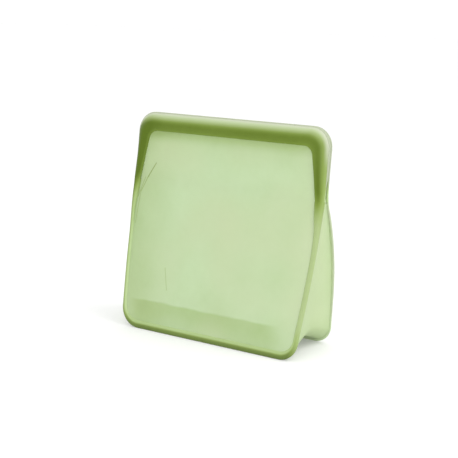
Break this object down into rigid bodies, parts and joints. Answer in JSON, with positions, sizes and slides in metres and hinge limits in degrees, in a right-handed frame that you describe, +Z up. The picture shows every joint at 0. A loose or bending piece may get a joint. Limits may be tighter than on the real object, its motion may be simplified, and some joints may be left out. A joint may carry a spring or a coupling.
{
  "type": "reusable silicone food storage bag",
  "caption": "Stand-up silicone food storage bag with a pinch closure over its top, two leaning walls and a folded base and side gusset, translucent green.",
  "frame": {"origin": "on the floor, under the middle of the standing bag", "axes": "+X across the closure to the right seen from the front, +Y from the front wall to the back wall, +Z up"},
  "size_m": [0.203, 0.0683, 0.1984],
  "materials": {
    "wall": "translucent matte silicone skin",
    "web": "translucent matte silicone, thinner folded skin",
    "seal": "thick matte silicone bead, darker where it is thick",
    "lip": "thin matte silicone edge"
  },
  "bodies": {
    "seam": {"left_seal_end": "seal", "right_seal_end": "seal", "left_gusset": "web", "base_gusset": "web", "right_gusset": "web"},
    "front_wall": {"front_panel": "wall", "front_rim": "seal"},
    "back_wall": {"back_panel": "wall", "back_rim": "seal"},
    "front_mouth": {"front_collar": "wall", "front_groove_track": "seal", "front_lip": "lip"},
    "back_mouth": {"back_collar": "wall", "back_bead_track": "seal", "back_lip": "lip", "seal_bead": "seal"}
  },
  "joints": [
    {"name": "front_fold", "type": "hinge", "parent": "seam", "child": "front_wall", "pos_m": [0, 0.0021, 0.135], "axis": [1, 0, 0], "range_deg": [0, 12.9], "deforming": ["left_gusset", "base_gusset", "right_gusset"]},
    {"name": "back_fold", "type": "hinge", "parent": "seam", "child": "back_wall", "pos_m": [0, 0.0021, 0.135], "axis": [-1, 0, 0], "range_deg": [0, 11.2]},
    {"name": "front_open", "type": "hinge", "parent": "seam", "child": "front_mouth", "pos_m": [0, 0.0021, 0.135], "axis": [1, 0, 0], "range_deg": [0, 50]},
    {"name": "back_open", "type": "hinge", "parent": "seam", "child": "back_mouth", "pos_m": [0, 0.0021, 0.135], "axis": [-1, 0, 0], "range_deg": [0, 50]}
  ],
  "couplings": [
    {"joint": "back_fold", "follows": "front_fold", "ratio": 0.8682}
  ]
}
